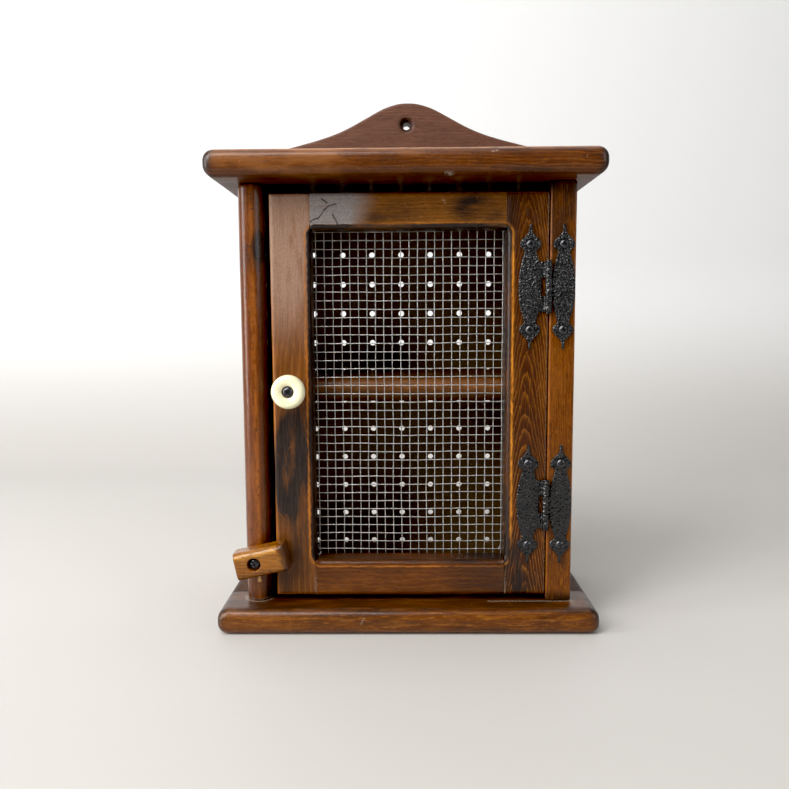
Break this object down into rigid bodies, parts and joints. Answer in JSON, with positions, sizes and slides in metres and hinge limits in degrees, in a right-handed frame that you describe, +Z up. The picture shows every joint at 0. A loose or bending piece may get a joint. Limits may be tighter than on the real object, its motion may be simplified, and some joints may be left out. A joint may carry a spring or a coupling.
{
  "type": "icebox style food cabinet",
  "caption": "Small wall-hung pine food cabinet with a framed wire-mesh door on surface hinges, a knob, a wooden turn button, a shelf, a perforated back and an arched hanging board.",
  "frame": {"origin": "on the underside of the base board, at the middle of the body's width, in the plane of the door's front face", "axes": "+X to the right as seen from the front, +Y back to the wall, +Z up towards the hanging board"},
  "size_m": [0.28, 0.1435, 0.4089],
  "materials": {
    "stained_pine_base": "gloss varnish over stain",
    "stained_pine_top": "gloss varnish over stain",
    "stained_pine_crest": "matt dry varnish over stain",
    "stained_pine_left": "gloss varnish over stain",
    "stained_pine_right": "gloss varnish over stain",
    "stained_pine_shelf": "matt dry varnish over stain",
    "stained_pine_stile_left": "gloss varnish over stain",
    "stained_pine_stile_right": "gloss varnish over stain",
    "stained_pine_rail_top": "gloss varnish over stain",
    "stained_pine_rail_bottom": "gloss varnish over stain",
    "golden_pine_button": "gloss varnish over stain",
    "birch_dowel": "bare",
    "brown_hardboard": "smooth hardboard",
    "galvanised_wire": "dull galvanised",
    "staple_steel": "bright drawn wire",
    "black_hammered_iron": "hammered, satin black",
    "black_screw": "black oxide",
    "steel_screw": "zinc plated",
    "nail_steel": "bright drawn wire",
    "ivory_knob": "gloss"
  },
  "bodies": {
    "cabinet": {"base_board": "stained_pine_base", "top_board": "stained_pine_top", "left_side": "stained_pine_left", "right_side": "stained_pine_right", "crest_board": "stained_pine_crest", "pegboard_back": "brown_hardboard", "shelf": "stained_pine_shelf", "base_screws": "steel_screw", "crest_screws": "steel_screw", "top_board_nails": "nail_steel", "shelf_nails": "nail_steel", "pegboard_nails": "nail_steel", "upper_hinge_frame_leaf": "black_hammered_iron", "lower_hinge_frame_leaf": "black_hammered_iron", "upper_hinge_pin": "black_hammered_iron", "lower_hinge_pin": "black_hammered_iron", "hinge_frame_screws": "black_screw", "turn_button_screw": "black_screw"},
    "door": {"door_left_stile": "stained_pine_stile_left", "door_right_stile": "stained_pine_stile_right", "door_top_rail": "stained_pine_rail_top", "door_bottom_rail": "stained_pine_rail_bottom", "door_dowels": "birch_dowel", "wire_mesh": "galvanised_wire", "mesh_staples": "staple_steel", "door_knob": "ivory_knob", "knob_screw": "black_screw", "upper_hinge_door_leaf": "black_hammered_iron", "lower_hinge_door_leaf": "black_hammered_iron", "hinge_door_screws": "black_screw"},
    "turn_button": {"turn_button": "golden_pine_button"}
  },
  "joints": [
    {"name": "door_swing", "type": "hinge", "parent": "cabinet", "child": "door", "pos_m": [0.1018, -0.0031, 0.1726], "axis": [0, 0, 1], "range_deg": [0, 170]},
    {"name": "turn_button_pivot", "type": "hinge", "parent": "cabinet", "child": "turn_button", "pos_m": [-0.1121, -0.0085, 0.0523], "axis": [0, 1, 0], "continuous": true}
  ]
}
